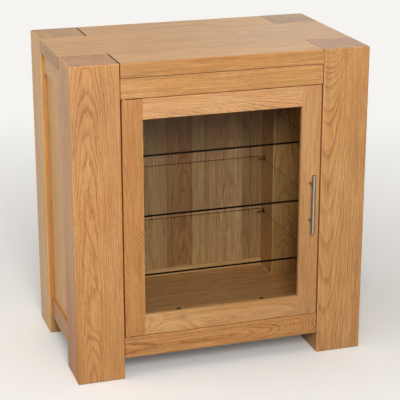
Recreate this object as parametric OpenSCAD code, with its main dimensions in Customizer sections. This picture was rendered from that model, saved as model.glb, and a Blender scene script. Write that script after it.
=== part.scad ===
// Oak media cabinet on four corner legs, with one glazed door and three glass shelves.
// Millimetres. X runs to the right, Y to the back and Z up.
// The origin lies on the floor, under the middle of the whole cabinet, handle included.

/* [Overall] */
// Width over the outer faces of the legs
width = 750; // [640:10:1000]
// Depth from the front of the front legs to the back of the back legs
depth = 450; // [400:10:600]
// Height from the floor to the top
height = 800; // [720:10:1000]

/* [Legs] */
// Width of a leg, seen from the front
leg_w = 119; // [90:1:140]
// Depth of a leg, seen from the side
leg_d = 117; // [90:1:140]
// Radius of the eased edges of a leg
leg_ease = 2.5; // [1:0.5:4]

/* [Top plank] */
// Thickness of the top plank
plank_t = 35; // [28:1:50]
// Radius of the plank's top edges at the front and back
plank_ease = 4; // [1:0.5:8]
// Radius of the plank's bottom edges at the front and back
plank_low_ease = 1; // [0.5:0.5:3]
// Gap between the plank and the inner faces of the legs
plank_gap = 1.5; // [0.5:0.5:3]
// Gap between the plank and the legs where it passes between them
plank_shoulder_gap = 0.3; // [0.2:0.1:1]

/* [Front rails] */
// Height of the rails right under the plank
upper_rail_h = 51; // [44:1:70]
// Height of the lower rails at the front and the back
lower_rail_h = 54; // [44:1:70]
// Height of the underside of the lower rails above the floor
lower_rail_z = 54.5; // [45:0.5:80]
// Thickness of the two front rails
front_rail_t = 24; // [22:1:26]
// How far the front rails and the door lie behind the front of the legs
front_setback = 2.5; // [1:0.5:6]
// Radius of the eased edges of the rails
rail_ease = 1; // [0.5:0.5:2]

/* [Side and back frames] */
// Height of the lower side rails
side_rail_h = 53; // [44:1:60]
// Height of the underside of the lower side rails above the floor
side_rail_z = 48; // [42:1:54]
// Thickness of the side and back rails
frame_rail_t = 24; // [20:1:30]
// How far the side and back rails lie behind the faces of the legs
frame_recess = 7.5; // [4:0.5:12]
// Thickness of the side panels and the back boards
panel_t = 10; // [6:0.5:12]
// Depth of the grooves that hold the panels and boards
groove_depth = 8; // [5:0.5:9]
// Room for a panel to swell in its groove
panel_slack = 1; // [0.5:0.5:2]
// Gap on each side of a panel in its groove
panel_gap = 0.1; // [0.05:0.05:0.2]
// Thickness of the tongues of the back boards
tongue_t = 3.4; // [2:0.2:4]
// Length of the tongues of the back boards
tongue_l = 4; // [2:0.5:6]
// Gap between one back board and the next
board_gap = 0.2; // [0.1:0.1:0.5]

/* [Tenons] */
// Length of the rail tenons
tenon_l = 20; // [12:1:28]
// Thickness of the rail tenons
tenon_t = 10; // [6:1:12]
// Shoulder above and below a rail tenon
tenon_shoulder = 10; // [10:1:14]
// Gap round a tenon in its mortise
mortise_gap = 0.1; // [0.05:0.05:0.2]
// Room beyond the end of a tenon
mortise_end = 1; // [0.5:0.5:3]

/* [Cabinet floor] */
// Thickness of the floor panel
floor_t = 18; // [14:1:19]
// How far the floor lies below the top of the plinth rail
floor_drop = 16.5; // [14:0.5:17]
// Gap round the floor panel
floor_gap = 0.5; // [0.3:0.1:1]
// Thickness of the battens that carry the floor
batten = 20; // [16:1:20]
// Distance of a batten's end from the legs
batten_end = 6; // [2:1:20]

/* [Shelves] */
// Thickness of a glass shelf
shelf_t = 5; // [4:1:8]
// Height of the first shelf's underside above the cabinet floor
shelf_first = 162.5; // [120:0.5:175]
// Distance from one shelf to the next
shelf_pitch = 153; // [120:1:165]
// Distance of a shelf's front edge from the front of the legs
shelf_setback = 33; // [32:1:60]
// Gap between a shelf and the legs on each side
shelf_side_gap = 2; // [1.6:0.1:4]
// Gap between a shelf and the back boards
shelf_back_gap = 2; // [1:0.5:10]
// Radius of the corners of a shelf
shelf_corner = 3; // [1:0.5:6]

/* [Shelf supports] */
// Distance of a support from the shelf's front or back edge
support_inset = 21; // [10:1:40]
// Diameter of the shank in the leg
support_shank_d = 5; // [4:0.5:6]
// Length of the shank in the leg
support_shank_l = 9; // [6:1:14]
// Diameter of the collar against the leg
support_collar_d = 10; // [8:0.5:14]
// Thickness of the collar
support_collar_t = 1.2; // [0.8:0.1:1.4]
// Length of the tongue under the glass
support_tongue_l = 17; // [12:1:24]
// Width of the tongue
support_tongue_w = 9; // [7:0.5:12]
// Thickness of the tongue
support_tongue_t = 1.5; // [1:0.1:2]
// Diameter of the clear pad on the tongue
pad_d = 7; // [5:0.5:7]
// Thickness of the clear pad
pad_t = 0.8; // [0.5:0.1:1.2]

/* [Door] */
// Thickness of the door frame
door_t = 20; // [18:0.5:22]
// Gap between the door and the legs on each side
door_side_gap = 4; // [3.5:0.1:5]
// Gap between the door and the rails above and below it
door_end_gap = 2; // [1.5:0.1:3]
// Width of the two stiles
stile_w = 50.5; // [46:0.5:70]
// Height of the top rail of the door
door_top_h = 50; // [46:1:70]
// Height of the bottom rail of the door
door_bottom_h = 53; // [46:1:80]
// Length of the tenons of the door rails
door_tenon_l = 26; // [16:1:28]
// Thickness of the tenons of the door rails
door_tenon_t = 7; // [5:0.5:8]
// Thickness of the door's glass
pane_t = 4; // [3:0.5:6]
// Width of the rebate that the glass lies in
rebate_w = 8; // [6:0.5:9]
// Thickness of the wood left in front of the glass
rebate_lip = 10; // [8:0.5:11]
// Gap round the edge of the glass
pane_gap = 1; // [0.5:0.5:2]

/* [Glass clips] */
// Width of a glass clip
clip_w = 10; // [8:1:14]
// Thickness of the clip's plate
clip_t = 2; // [1.5:0.5:3]
// Length of the clip's plate on the wood
clip_foot = 13; // [11:1:16]
// How far a clip shows past the edge of the frame
clip_show = 0; // [0:0.5:4]
// Distance of the clips on the rails from the middle of the door
clip_x = 110; // [60:1:150]
// Distance of the clips on the stiles from mid height
clip_z = 150; // [80:5:190]

/* [Handle] */
// Length of the handle bar
bar_l = 150; // [120:5:220]
// Diameter of the handle bar
bar_d = 10; // [8:0.5:14]
// Chamfer at the ends of the bar
bar_chamfer = 0.6; // [0.2:0.1:1.5]
// Distance between the two posts
post_pitch = 96; // [64:32:96]
// Diameter of a post
post_d = 6; // [5:0.5:7]
// How far a post enters the bar
post_in_bar = 4; // [2:0.5:5]
// Reach of the handle from the face of the door
handle_reach = 32; // [26:1:45]
// Height of the handle's middle above the middle of the door
handle_rise = 5; // [0:1:20]
// Diameter of the handle screws
handle_screw_d = 4; // [3:0.5:4]
// How far a handle screw enters its post
handle_screw_grip = 10; // [6:1:12]
// Diameter of the heads of the handle screws
handle_head_d = 8; // [7:0.5:10]
// Height of the heads of the handle screws
handle_head_h = 2.2; // [1.5:0.1:3]

/* [Hinges] */
// Distance of the hinge axis from the edge of the door
hinge_inset_x = 7; // [6.5:0.1:9]
// Distance of the hinge axis behind the face of the door
hinge_inset_y = 7; // [6:0.1:7.2]
// Width of a hinge leaf
leaf_w = 9; // [8:0.5:10]
// Thickness of a hinge leaf
leaf_t = 3; // [2:0.5:3]
// Length of a hinge leaf beyond the hinge axis
leaf_l = 38; // [34:1:40]
// Diameter of the hinge pins
pin_d = 5; // [4:0.5:5]
// Distance from a pin's end to the wood of the door
pin_end_gap = 0.5; // [0.3:0.1:1]
// Diameter of the hinge washers
washer_d = 9; // [8:0.5:11]
// Gap above and below a hinge washer
washer_gap = 0.1; // [0.05:0.05:0.2]
// Radial clearance of pins and screws
fit = 0.05; // [0.02:0.01:0.09]

/* [Screws] */
// Diameter of the hinge screws
leaf_screw_d = 3; // [2.5:0.5:3.5]
// Length of the hinge screws
leaf_screw_l = 14; // [10:1:16]
// Diameter of the batten and bracket screws
screw_d = 4; // [3:0.5:4.5]
// Length of the batten screws
batten_screw_l = 35; // [28:1:38]
// Length of the bracket screws
bracket_screw_l = 16; // [12:1:18]
// Diameter of the small screws of the clips and the catch
small_screw_d = 3; // [2.5:0.5:3.5]
// Length of the clip screws
clip_screw_l = 12; // [8:1:14]
// Length of the catch screws
catch_screw_l = 14; // [10:1:18]

/* [Top brackets] */
// Length of each side of a bracket
bracket_l = 20; // [18:1:26]
// Width of a bracket
bracket_w = 15; // [12:1:20]
// Thickness of a bracket
bracket_t = 2; // [1.5:0.5:3]
// Distance from the block of the catch to the next bracket
bracket_from_block = 30; // [4:1:40]

/* [Magnetic catch] */
// Distance from the middle of the catch to the stile with the handle
catch_inset = 26; // [24:1:40]
// Distance of the catch screws behind the apron
catch_screw_y = 6; // [5:0.5:7]
// Width of the catch body
catch_w = 32; // [28:1:40]
// Depth of the catch body
catch_d = 16; // [14:1:22]
// Height of the catch body
catch_h = 14; // [12:1:16]
// Length of each ear of the catch
catch_ear = 10; // [9:1:14]
// Thickness of the ears
catch_ear_t = 2.5; // [2:0.5:4]
// Width of the magnet
magnet_w = 24; // [18:1:26]
// Height of the magnet
magnet_h = 6; // [4:1:8]
// Depth of the magnet
magnet_d = 6; // [4:1:9]
// How far the magnet stands out of the catch body
magnet_show = 1.5; // [1:0.1:1.7]
// Gap between the magnet and its plate on the closed door
catch_gap = 0.3; // [0.3:0.1:0.8]
// Width of the steel plate on the door
strike_w = 34; // [30:1:44]
// Height of the steel plate on the door
strike_h = 10; // [7:0.5:10]
// Thickness of the steel plate on the door
strike_t = 1; // [0.8:0.1:1.5]
// Depth of the block that carries the catch
catch_block_d = 30; // [24:1:40]
// Height of the block that carries the catch
catch_block_h = 26; // [18:1:36]

/* [Hidden] */
$fn = 48;

// Widths of the seven back boards, as parts of the space between the legs
board_parts = [15, 14, 17, 14.5, 9.5, 19, 11];
board_count = len(board_parts);
board_total = total(board_parts);
// Countersunk heads are twice as wide as their screws
head_ratio = 2;
// Width of the cross in a screw head, as a part of the head
cross_ratio = 0.16;
// Length of the cross in a screw head, as a part of the head
cross_length = 0.6;
// Depth of the cross, as a part of the screw's diameter
cross_depth = 0.45;
// Width of a screw's tip, as a part of the screw
tip_ratio = 0.25;
// Height of the straight side of a pan head, as a part of the head
pan_side = 0.6;
// Width of the flat on top of a pan head, as a part of the head
pan_flat = 0.72;
// Extra length of a cutting shape, so that it passes the face it cuts
past = 1;

// Places along X, from the middle outwards
leg_x = width / 2 - leg_w;
inner_w = 2 * leg_x;
side_rail_x = width / 2 - frame_recess - frame_rail_t;
// Places along Y
handle_proud = handle_reach - front_setback;
front_y = (handle_proud - depth) / 2;
back_y = front_y + depth;
door_y = front_y + front_setback;
door_back_y = door_y + door_t;
rail_back_y = door_y + front_rail_t;
back_rail_y = back_y - frame_recess - frame_rail_t;
groove_offset = (frame_rail_t - panel_t) / 2;
board_y = back_rail_y + groove_offset;
// Places along Z
plank_z = height - plank_t;
upper_rail_z = plank_z - upper_rail_h;
lower_rail_top = lower_rail_z + lower_rail_h;
side_rail_top = side_rail_z + side_rail_h;
floor_top = lower_rail_top - floor_drop;
batten_z = floor_top - floor_t - batten;
shelf_z = [for (i = [0:2]) floor_top + shelf_first + i * shelf_pitch];

// The door and its opening
door_z = lower_rail_top + door_end_gap;
door_top_z = upper_rail_z - door_end_gap;
door_h = door_top_z - door_z;
door_x = leg_x - door_side_gap;
sight_x = door_x - stile_w;
sight_z = door_z + door_bottom_h;
sight_top_z = door_top_z - door_top_h;
door_mid_z = (door_z + door_top_z) / 2;
door_tenon_y = door_y + (rebate_lip - door_tenon_t) / 2;
door_tenon_outer = leaf_t + leaf_screw_l + past;
door_tenon_inner = rebate_w + past;
handle_x = door_x - stile_w / 2;
handle_z = door_mid_z + handle_rise;
bar_y = door_y - handle_reach + bar_d / 2;
hinge_x = -door_x + hinge_inset_x;
hinge_y = door_y + hinge_inset_y;
leaf_screw_x = [leaf_w + past, leaf_l - leaf_screw_d * head_ratio];

// Depth of a shelf, and where it lies
shelf_y = front_y + shelf_setback;
shelf_depth = board_y - shelf_back_gap - shelf_y;
support_y = [shelf_y + support_inset, shelf_y + shelf_depth - support_inset];

// The magnetic catch, right behind the door's top rail
catch_front_y = door_back_y + catch_gap + magnet_show;
magnet_z = upper_rail_z - catch_h + (catch_h - catch_ear_t) / 2;
catch_x = sight_x - catch_inset;
catch_half_w = catch_w / 2 + catch_ear;
catch_screw_x = (catch_w + catch_ear) / 2;
bracket_x = catch_x - catch_half_w - bracket_from_block - bracket_w / 2;

function total(list, i = 0) = i == len(list) ? 0 : list[i] + total(list, i + 1);

function board_edge(i) =
    i == 0 ? -leg_x : board_edge(i - 1) + inner_w * board_parts[i - 1] / board_total;

// Flat shapes and boards

module rounded_rect(w, h, r) {
    translate([r, 0]) square([w - 2 * r, h]);
    translate([0, r]) square([w, h - 2 * r]);
    for (x = [r, w - r], y = [r, h - r]) translate([x, y]) circle(r = r);
}

module board_along_x(size, r) {
    rotate([90, 0, 90]) linear_extrude(size.x) rounded_rect(size.y, size.z, r);
}

module board_along_y(size, r) {
    translate([0, size.y, 0]) rotate([90, 0, 0]) linear_extrude(size.y) rounded_rect(size.x, size.z, r);
}

module board_along_z(size, r) {
    linear_extrude(size.z) rounded_rect(size.x, size.y, r);
}

module eased_block(size, r) {
    intersection() {
        board_along_x(size, r);
        board_along_y(size, r);
        board_along_z(size, r);
    }
}

// The section of the top plank, seen along its length
module plank_section() {
    rounded_rect(depth, plank_t, plank_ease);
    rounded_rect(depth, plank_t - plank_ease, plank_low_ease);
}

// A box from one corner to the other
module span(low, high) {
    translate(low) cube(high - low);
}

module mirrored_copy(axis) {
    children();
    mirror(axis) children();
}

// Screws, with the top of the head at the origin and the tip below it

module screw_cross(d) {
    head = d * head_ratio;
    for (turn = [0, 90])
        rotate(turn)
            translate([-head * cross_length / 2, -head * cross_ratio / 2, -d * cross_depth])
                cube([head * cross_length, head * cross_ratio, d]);
}

module countersunk_screw(d, length) {
    difference() {
        union() {
            translate([0, 0, -d / 2]) cylinder(h = d / 2, r1 = d / 2, r2 = d * head_ratio / 2);
            translate([0, 0, -length + d]) cylinder(h = length - d, r = d / 2);
            translate([0, 0, -length]) cylinder(h = d, r1 = d * tip_ratio / 2, r2 = d / 2);
        }
        screw_cross(d);
    }
}

module countersunk_hole(d, length) {
    translate([0, 0, -d / 2]) cylinder(h = d / 2, r1 = d / 2 + fit, r2 = d * head_ratio / 2 + fit);
    translate([0, 0, -length - fit]) cylinder(h = length + fit, r = d / 2 + fit);
}

module pan_screw(d, length, head_d, head_h) {
    difference() {
        union() {
            cylinder(h = head_h * pan_side, r = head_d / 2);
            translate([0, 0, head_h * pan_side])
                cylinder(h = head_h * (1 - pan_side), r1 = head_d / 2, r2 = head_d * pan_flat / 2);
            translate([0, 0, -length]) cylinder(h = length + head_h / 2, r = d / 2);
        }
        translate([0, 0, head_h]) screw_cross(d);
    }
}

module plain_hole(d, length) {
    translate([0, 0, -length - fit]) cylinder(h = length + fit + past, r = d / 2 + fit);
}

// Legs. Each is cut as the left one, measured from its outer faces, and the right one is its mirror

module leg_blank() {
    eased_block([leg_w, leg_d, height], leg_ease);
}

// A mortise in the face of the leg that looks along the front or the back
module mortise_in_x(y, t, z, h) {
    span([leg_w - tenon_l - mortise_end, y - mortise_gap, z + tenon_shoulder - mortise_gap],
         [leg_w + past, y + t + mortise_gap, z + h - tenon_shoulder + mortise_gap]);
}

// A mortise in the face of the leg that looks along the side
module mortise_in_y(z, h) {
    x = frame_recess + (frame_rail_t - tenon_t) / 2;
    span([x - mortise_gap, leg_d - tenon_l - mortise_end, z + tenon_shoulder - mortise_gap],
         [x + tenon_t + mortise_gap, leg_d + past, z + h - tenon_shoulder + mortise_gap]);
}

module side_panel_groove() {
    x = frame_recess + groove_offset;
    span([x - panel_gap, leg_d - groove_depth, side_rail_top - groove_depth],
         [x + panel_t + panel_gap, leg_d + past, upper_rail_z + groove_depth]);
}

module back_board_groove() {
    y = frame_recess + groove_offset;
    span([leg_w - groove_depth, y - panel_gap, lower_rail_top - groove_depth],
         [leg_w + past, y + panel_t + panel_gap, upper_rail_z + groove_depth]);
}

module support_holes(y) {
    for (z = shelf_z)
        translate([leg_w - support_shank_l - fit, y, z - pad_t - support_tongue_t / 2])
            rotate([0, 90, 0])
                cylinder(h = support_shank_l + fit + past, r = support_shank_d / 2 + fit);
}

module side_joints() {
    mortise_in_y(side_rail_z, side_rail_h);
    mortise_in_y(upper_rail_z, upper_rail_h);
    side_panel_groove();
}

module front_leg() {
    tenon_y = front_setback + (front_rail_t - tenon_t) / 2;
    color("burlywood")
        translate([-width / 2, front_y, 0])
            difference() {
                leg_blank();
                side_joints();
                mortise_in_x(tenon_y, tenon_t, lower_rail_z, lower_rail_h);
                mortise_in_x(tenon_y, tenon_t, upper_rail_z, upper_rail_h);
                support_holes(support_y[0] - front_y);
            }
}

module rear_leg() {
    tenon_y = frame_recess + (frame_rail_t - tenon_t) / 2;
    color("burlywood")
        translate([-width / 2, back_y, 0])
            mirror([0, 1, 0])
                difference() {
                    leg_blank();
                    side_joints();
                    mortise_in_x(tenon_y, tenon_t, lower_rail_z, lower_rail_h);
                    mortise_in_x(tenon_y, tenon_t, upper_rail_z, upper_rail_h);
                    back_board_groove();
                    support_holes(back_y - support_y[1]);
                }
}

// The plank passes between the front and back legs, and between the left and right ones

module top_plank() {
    long_w = inner_w - 2 * plank_gap;
    cross_d = depth - 2 * leg_d - 2 * plank_shoulder_gap;
    color("burlywood")
        difference() {
            union() {
                translate([-long_w / 2, front_y, plank_z])
                    rotate([90, 0, 90]) linear_extrude(long_w) plank_section();
                translate([-width / 2, front_y + leg_d + plank_shoulder_gap, plank_z])
                    board_along_y([width, cross_d, plank_t], leg_ease);
            }
            bracket_screw_holes();
        }
}

// Rails. The tenons run on from the middle of each rail

module rail_across(y, t, z, h) {
    translate([-leg_x, y, z]) board_along_x([inner_w, t, h], rail_ease);
    span([-leg_x - tenon_l, y + (t - tenon_t) / 2, z + tenon_shoulder],
         [leg_x + tenon_l, y + (t + tenon_t) / 2, z + h - tenon_shoulder]);
}

module front_apron() {
    color("burlywood")
        difference() {
            rail_across(door_y, front_rail_t, upper_rail_z, upper_rail_h);
            translate([hinge_x, hinge_y, upper_rail_z]) frame_leaf_seat();
            bracket_screw_holes();
        }
}

module plinth_rail() {
    color("burlywood")
        difference() {
            rail_across(door_y, front_rail_t, lower_rail_z, lower_rail_h);
            translate([hinge_x, hinge_y, lower_rail_top]) mirror([0, 0, 1]) frame_leaf_seat();
            batten_screw_holes();
        }
}

module rear_top_rail() {
    color("burlywood")
        difference() {
            rail_across(back_rail_y, frame_rail_t, upper_rail_z, upper_rail_h);
            span([-leg_x - past, board_y - panel_gap, upper_rail_z - past],
                 [leg_x + past, board_y + panel_t + panel_gap, upper_rail_z + groove_depth]);
            bracket_screw_holes();
        }
}

module rear_bottom_rail() {
    color("burlywood")
        difference() {
            rail_across(back_rail_y, frame_rail_t, lower_rail_z, lower_rail_h);
            span([-leg_x - past, board_y - panel_gap, lower_rail_top - groove_depth],
                 [leg_x + past, board_y + panel_t + panel_gap, lower_rail_top + past]);
            batten_screw_holes();
        }
}

module side_rail(z, h) {
    rail_l = depth - 2 * leg_d;
    y = front_y + leg_d;
    x = side_rail_x + (frame_rail_t - tenon_t) / 2;
    translate([side_rail_x, y, z]) board_along_y([frame_rail_t, rail_l, h], rail_ease);
    span([x, y - tenon_l, z + tenon_shoulder],
         [x + tenon_t, y + rail_l + tenon_l, z + h - tenon_shoulder]);
}

module side_rail_groove(z) {
    x = side_rail_x + groove_offset;
    span([x - panel_gap, front_y + leg_d - past, z],
         [x + panel_t + panel_gap, back_y - leg_d + past, z + groove_depth + past]);
}

module side_top_rail() {
    color("burlywood")
        difference() {
            side_rail(upper_rail_z, upper_rail_h);
            side_rail_groove(upper_rail_z - past);
            bracket_screw_holes();
        }
}

module side_bottom_rail() {
    color("burlywood")
        difference() {
            side_rail(side_rail_z, side_rail_h);
            side_rail_groove(side_rail_top - groove_depth);
            batten_screw_holes();
        }
}

// Panels and back boards stand on the bottom of their grooves

module side_panel() {
    tongue = groove_depth - panel_slack;
    x = side_rail_x + groove_offset;
    color("tan")
        span([x, front_y + leg_d - tongue, side_rail_top - groove_depth],
             [x + panel_t, back_y - leg_d + tongue, upper_rail_z + tongue]);
}

module back_board(i) {
    first = i == 0;
    last = i == board_count - 1;
    tongue = groove_depth - panel_slack;
    low_x = first ? -leg_x - tongue : board_edge(i);
    high_x = last ? leg_x + tongue : board_edge(i + 1) - board_gap;
    low_z = lower_rail_top - groove_depth;
    high_z = upper_rail_z + tongue;
    tongue_y = board_y + (panel_t - tongue_t) / 2;
    color(i % 2 == 0 ? "tan" : "burlywood")
        difference() {
            union() {
                span([low_x, board_y, low_z], [high_x, board_y + panel_t, high_z]);
                if (!last)
                    span([high_x - past, tongue_y, low_z],
                         [high_x + tongue_l, tongue_y + tongue_t, high_z]);
            }
            if (!first)
                span([low_x - past, tongue_y - panel_gap, low_z - past],
                     [low_x + tongue_l, tongue_y + tongue_t + panel_gap, high_z + past]);
        }
}

// Floor of the cabinet, on four battens

module floor_panel() {
    low_z = floor_top - floor_t;
    color("peru") {
        span([-leg_x + floor_gap, rail_back_y + floor_gap, low_z],
             [leg_x - floor_gap, back_rail_y - floor_gap, floor_top]);
        mirrored_copy([1, 0, 0])
            span([leg_x - floor_gap - past, front_y + leg_d + floor_gap, low_z],
                 [side_rail_x - floor_gap, back_y - leg_d - floor_gap, floor_top]);
    }
}

module floor_batten_across(y) {
    color("burlywood")
        difference() {
            span([-leg_x + batten_end, y, batten_z], [leg_x - batten_end, y + batten, batten_z + batten]);
            batten_screw_holes();
        }
}

module floor_batten_side() {
    color("burlywood")
        difference() {
            span([side_rail_x - batten, front_y + leg_d + batten_end, batten_z],
                 [side_rail_x, back_y - leg_d - batten_end, batten_z + batten]);
            batten_screw_holes();
        }
}

// Puts its children at each batten screw, head at the batten's free face
module at_batten_screws() {
    z = batten_z + batten / 2;
    across = leg_x - batten_end - batten;
    along = depth / 2 - leg_d - batten_end - batten;
    for (x = [-across, 0, across]) {
        translate([x, rail_back_y + batten, z]) rotate([-90, 0, 0]) children();
        translate([x, back_rail_y - batten, z]) rotate([90, 0, 0]) children();
    }
    mirrored_copy([1, 0, 0])
        for (y = [-along, along])
            translate([side_rail_x - batten, front_y + depth / 2 + y, z]) rotate([0, -90, 0]) children();
}

module batten_screw_holes() {
    at_batten_screws() countersunk_hole(screw_d, batten_screw_l);
}

module floor_batten_screws() {
    color("gold") at_batten_screws() countersunk_screw(screw_d, batten_screw_l);
}

// Steel angle brackets that hold the plank to the upper rails

// Puts its children at each bracket, with its corner at the origin and the rail behind it
module at_brackets() {
    for (x = [-bracket_x, bracket_x]) {
        translate([x, rail_back_y, plank_z]) children();
        translate([x, back_rail_y, plank_z]) rotate(180) children();
    }
    mirrored_copy([1, 0, 0])
        translate([side_rail_x, front_y + depth / 2, plank_z]) rotate(90) children();
}

// Puts its children at the two screws of one bracket
module at_bracket_screws() {
    mid = (bracket_l + bracket_t) / 2;
    translate([0, mid, -bracket_t]) rotate([180, 0, 0]) children();
    translate([0, bracket_t, -mid]) rotate([-90, 0, 0]) children();
}

module bracket_screw_holes() {
    at_brackets() at_bracket_screws() plain_hole(screw_d, bracket_screw_l);
}

module top_brackets() {
    color("silver")
        at_brackets()
            difference() {
                union() {
                    span([-bracket_w / 2, 0, -bracket_t], [bracket_w / 2, bracket_l, 0]);
                    span([-bracket_w / 2, 0, -bracket_l], [bracket_w / 2, bracket_t, 0]);
                }
                at_bracket_screws() plain_hole(screw_d, bracket_screw_l);
            }
}

module top_bracket_screws() {
    color("gold")
        at_brackets() at_bracket_screws() pan_screw(screw_d, bracket_screw_l, screw_d * head_ratio, screw_d / 2);
}

// Glass shelves and what they rest on

module glass_shelf(i) {
    shelf_w = inner_w - 2 * shelf_side_gap;
    color("lightcyan", 0.5)
        translate([-shelf_w / 2, shelf_y, shelf_z[i]])
            linear_extrude(shelf_t) rounded_rect(shelf_w, shelf_depth, shelf_corner);
}

// Puts its children at the four supports of a shelf, on the face of the leg, pointing inwards
module at_supports(i) {
    mirrored_copy([1, 0, 0])
        for (y = support_y)
            translate([-leg_x, y, shelf_z[i] - pad_t - support_tongue_t / 2]) children();
}

module shelf_supports(i) {
    color("dimgray")
        at_supports(i) {
            translate([-support_shank_l, 0, 0]) rotate([0, 90, 0])
                cylinder(h = support_shank_l + support_collar_t, r = support_shank_d / 2);
            rotate([0, 90, 0]) cylinder(h = support_collar_t, r = support_collar_d / 2);
            span([0, -support_tongue_w / 2, -support_tongue_t / 2],
                 [support_collar_t + support_tongue_l, support_tongue_w / 2, support_tongue_t / 2]);
        }
}

module shelf_pads() {
    color("white", 0.6)
        for (i = [0:2])
            at_supports(i)
                translate([support_collar_t + support_tongue_l - support_tongue_w / 2, 0, support_tongue_t / 2])
                    cylinder(h = pad_t, r = pad_d / 2);
}

// Pivot hinges at the top and bottom of the hinge stile. Each is drawn as the upper one

module leaf_outline() {
    circle(r = leaf_w / 2);
    translate([0, -leaf_w / 2]) square([leaf_l, leaf_w]);
}

// Puts its children at the screws of a leaf whose outer face is at the origin
module at_leaf_screws() {
    for (x = leaf_screw_x) translate([x, 0, 0]) children();
}

module at_hinges() {
    translate([hinge_x, hinge_y, upper_rail_z]) children();
    translate([hinge_x, hinge_y, lower_rail_top]) mirror([0, 0, 1]) children();
}

module frame_leaf_seat() {
    translate([0, 0, -past]) linear_extrude(leaf_t + past) leaf_outline();
    at_leaf_screws() mirror([0, 0, 1]) countersunk_hole(leaf_screw_d, leaf_screw_l);
}

module hinge_frame_leaves() {
    color("gold")
        at_hinges()
            difference() {
                linear_extrude(leaf_t) leaf_outline();
                translate([0, 0, -past]) cylinder(h = leaf_t + 2 * past, r = pin_d / 2 + fit);
                at_leaf_screws() mirror([0, 0, 1]) countersunk_hole(leaf_screw_d, leaf_screw_l);
            }
}

module hinge_frame_screws() {
    color("goldenrod")
        at_hinges() at_leaf_screws() mirror([0, 0, 1]) countersunk_screw(leaf_screw_d, leaf_screw_l);
}

module hinge_pins() {
    low = -door_end_gap - leaf_t + pin_end_gap;
    color("silver") at_hinges() translate([0, 0, low]) cylinder(h = leaf_t - low, r = pin_d / 2);
}

module hinge_washers() {
    color("silver")
        at_hinges()
            translate([0, 0, washer_gap - door_end_gap])
                difference() {
                    cylinder(h = door_end_gap - 2 * washer_gap, r = washer_d / 2);
                    translate([0, 0, -past]) cylinder(h = door_end_gap + 2 * past, r = pin_d / 2 + fit);
                }
}

// Puts its children at the outer face of the door's own leaves
module at_door_leaves() {
    at_hinges() translate([0, 0, -door_end_gap]) children();
}

module door_leaf_seats() {
    at_door_leaves() {
        translate([0, 0, -leaf_t]) linear_extrude(leaf_t + past) leaf_outline();
        at_leaf_screws() countersunk_hole(leaf_screw_d, leaf_screw_l);
    }
}

module hinge_door_leaves() {
    color("gold")
        at_door_leaves()
            difference() {
                translate([0, 0, -leaf_t]) linear_extrude(leaf_t) leaf_outline();
                translate([0, 0, -leaf_t - past]) cylinder(h = leaf_t + 2 * past, r = pin_d / 2 + fit);
                at_leaf_screws() countersunk_hole(leaf_screw_d, leaf_screw_l);
            }
}

module hinge_door_screws() {
    color("goldenrod") at_door_leaves() at_leaf_screws() countersunk_screw(leaf_screw_d, leaf_screw_l);
}

// Door frame, with its glass in a rebate from behind

// The space for the glass, open to the back of the door
module glass_pocket() {
    span([-sight_x - rebate_w, door_y + rebate_lip, sight_z - rebate_w],
         [sight_x + rebate_w, door_back_y + past, sight_top_z + rebate_w]);
}

// The tenons of the door's rails, or the mortises for them where grow is more than nothing
module door_tenons(low_z, high_z, grow, extra_l) {
    span([-sight_x - door_tenon_l - extra_l, door_tenon_y - grow, low_z - grow],
         [sight_x + door_tenon_l + extra_l, door_tenon_y + door_tenon_t + grow, high_z + grow]);
}

module top_tenons(grow, extra_l) {
    door_tenons(sight_top_z + door_tenon_inner, door_top_z - door_tenon_outer, grow, extra_l);
}

module bottom_tenons(grow, extra_l) {
    door_tenons(door_z + door_tenon_outer, sight_z - door_tenon_inner, grow, extra_l);
}

// The pieces of the frame are cut from one slab with eased outer edges
module frame_member(low_x, high_x, low_z, high_z) {
    intersection() {
        translate([-door_x, door_y, door_z]) eased_block([2 * door_x, door_t, door_h], rail_ease);
        span([low_x, door_y - past, low_z], [high_x, door_back_y + past, high_z]);
    }
}

module stile(x) {
    difference() {
        frame_member(x, x + stile_w, door_z, door_top_z);
        glass_pocket();
        top_tenons(mortise_gap, mortise_end);
        bottom_tenons(mortise_gap, mortise_end);
        clip_screw_holes();
    }
}

module door_stile_hinge() {
    color("sandybrown")
        difference() {
            stile(-door_x);
            door_leaf_seats();
        }
}

module door_stile_handle() {
    color("sandybrown")
        difference() {
            stile(sight_x);
            at_posts() plain_hole(handle_screw_d, door_t + past);
        }
}

module door_rail_top() {
    color("sandybrown")
        difference() {
            union() {
                frame_member(-sight_x, sight_x, sight_top_z, door_top_z);
                top_tenons(0, 0);
            }
            glass_pocket();
            clip_screw_holes();
            strike_seat();
        }
}

module door_rail_bottom() {
    color("sandybrown")
        difference() {
            union() {
                frame_member(-sight_x, sight_x, door_z, sight_z);
                bottom_tenons(0, 0);
            }
            glass_pocket();
            clip_screw_holes();
        }
}

module door_glass() {
    edge = rebate_w - pane_gap;
    color("lightcyan", 0.4)
        span([-sight_x - edge, door_y + rebate_lip, sight_z - edge],
             [sight_x + edge, door_y + rebate_lip + pane_t, sight_top_z + edge]);
}

// Puts its children at each glass clip. X runs along the frame's edge and Y away from the glass
module at_clips() {
    for (x = [-clip_x, clip_x]) {
        translate([x, door_back_y, sight_top_z]) rotate([90, 0, 0]) children();
        translate([x, door_back_y, sight_z]) rotate([90, 180, 0]) children();
    }
    for (z = [-clip_z, clip_z]) {
        translate([sight_x, door_back_y, door_mid_z + z]) rotate([90, -90, 0]) mirror([0, 1, 0]) children();
        translate([-sight_x, door_back_y, door_mid_z + z]) rotate([90, 90, 0]) mirror([0, 1, 0]) children();
    }
}

// Puts its children at the screw of a clip, head at the clip's free face
module at_clip_screw() {
    translate([0, rebate_w + clip_foot / 2, -clip_t]) mirror([0, 0, 1]) children();
}

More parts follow.
